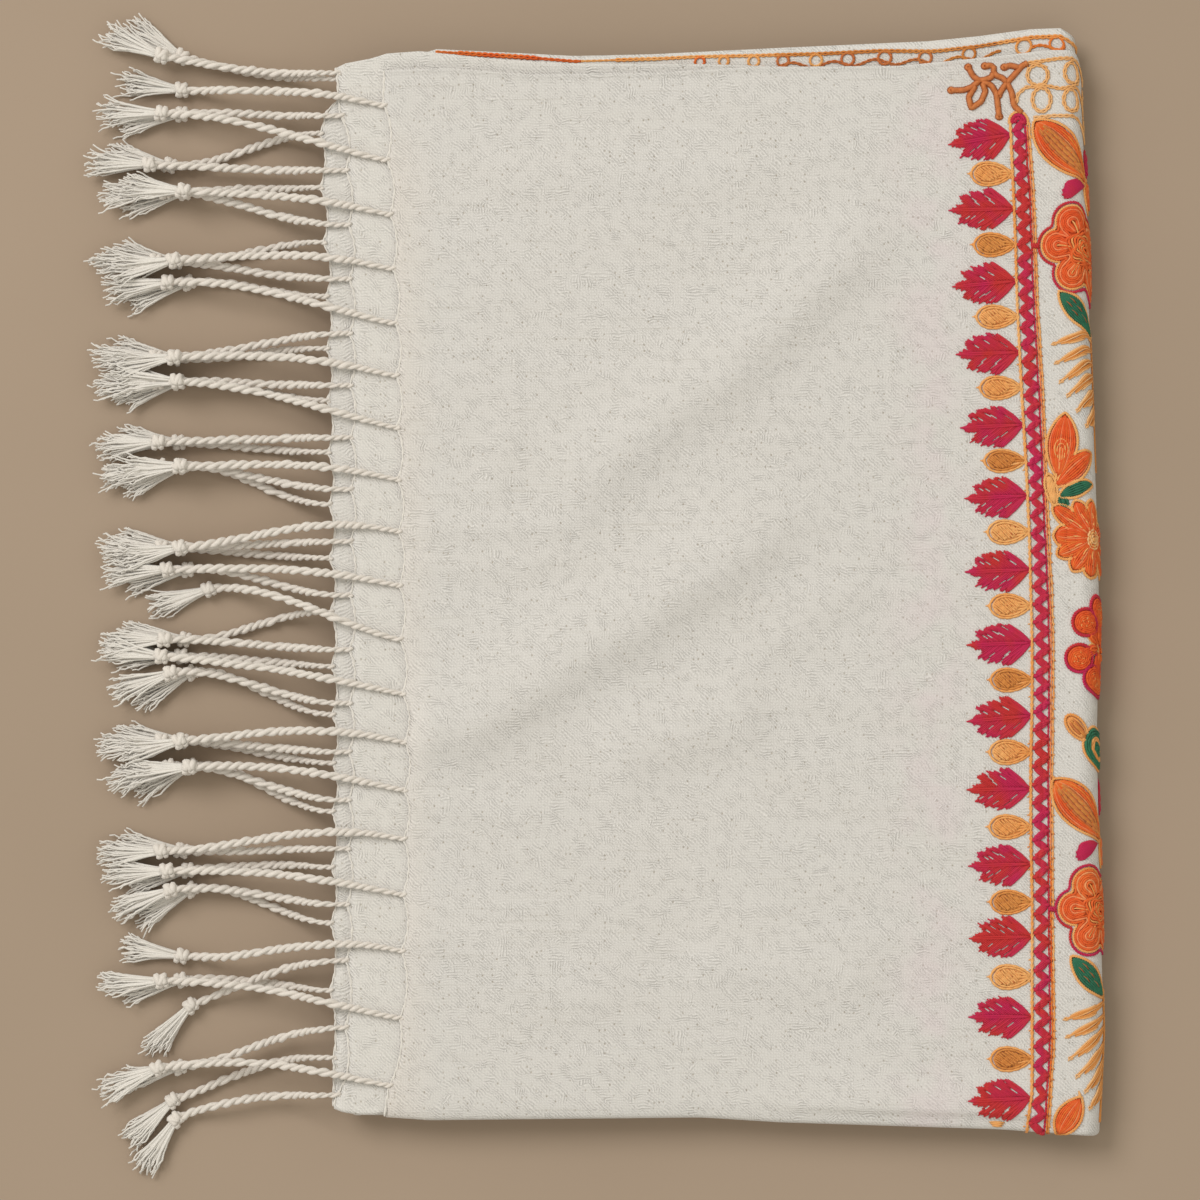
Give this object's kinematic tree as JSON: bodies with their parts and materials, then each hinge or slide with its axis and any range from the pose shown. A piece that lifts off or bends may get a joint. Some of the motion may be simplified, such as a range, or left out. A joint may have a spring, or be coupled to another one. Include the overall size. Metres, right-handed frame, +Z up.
{
  "type": "folded fringed embroidered stole",
  "caption": "Ivory wool stole with flower embroidery, folded into a flat rectangle and lying on a surface, its twisted and knotted fringe spread out from one side.",
  "frame": {"origin": "on the surface that the stole lies on, under the middle of the folded cloth", "axes": "+X from the fringe to the last fold, +Y from the long fold to the selvedges, +Z up from the surface"},
  "size_m": [0.3366, 0.3818, 0.0163],
  "materials": {
    "ivory_wool": "fine woven wool with a small self-pattern, matt",
    "ivory_cord": "twisted wool cord and loose thread ends, matt",
    "embroidery_thread": "coloured wool embroidery thread with a slight sheen"
  },
  "bodies": {
    "root": {"top_stretch": "ivory_wool", "second_stretch": "ivory_wool", "embroidered_stretch": "ivory_wool", "hidden_layers": "ivory_wool", "top_fringe": "ivory_cord", "second_fringe": "ivory_cord", "third_fringe": "ivory_cord"}
  },
  "joints": []
}
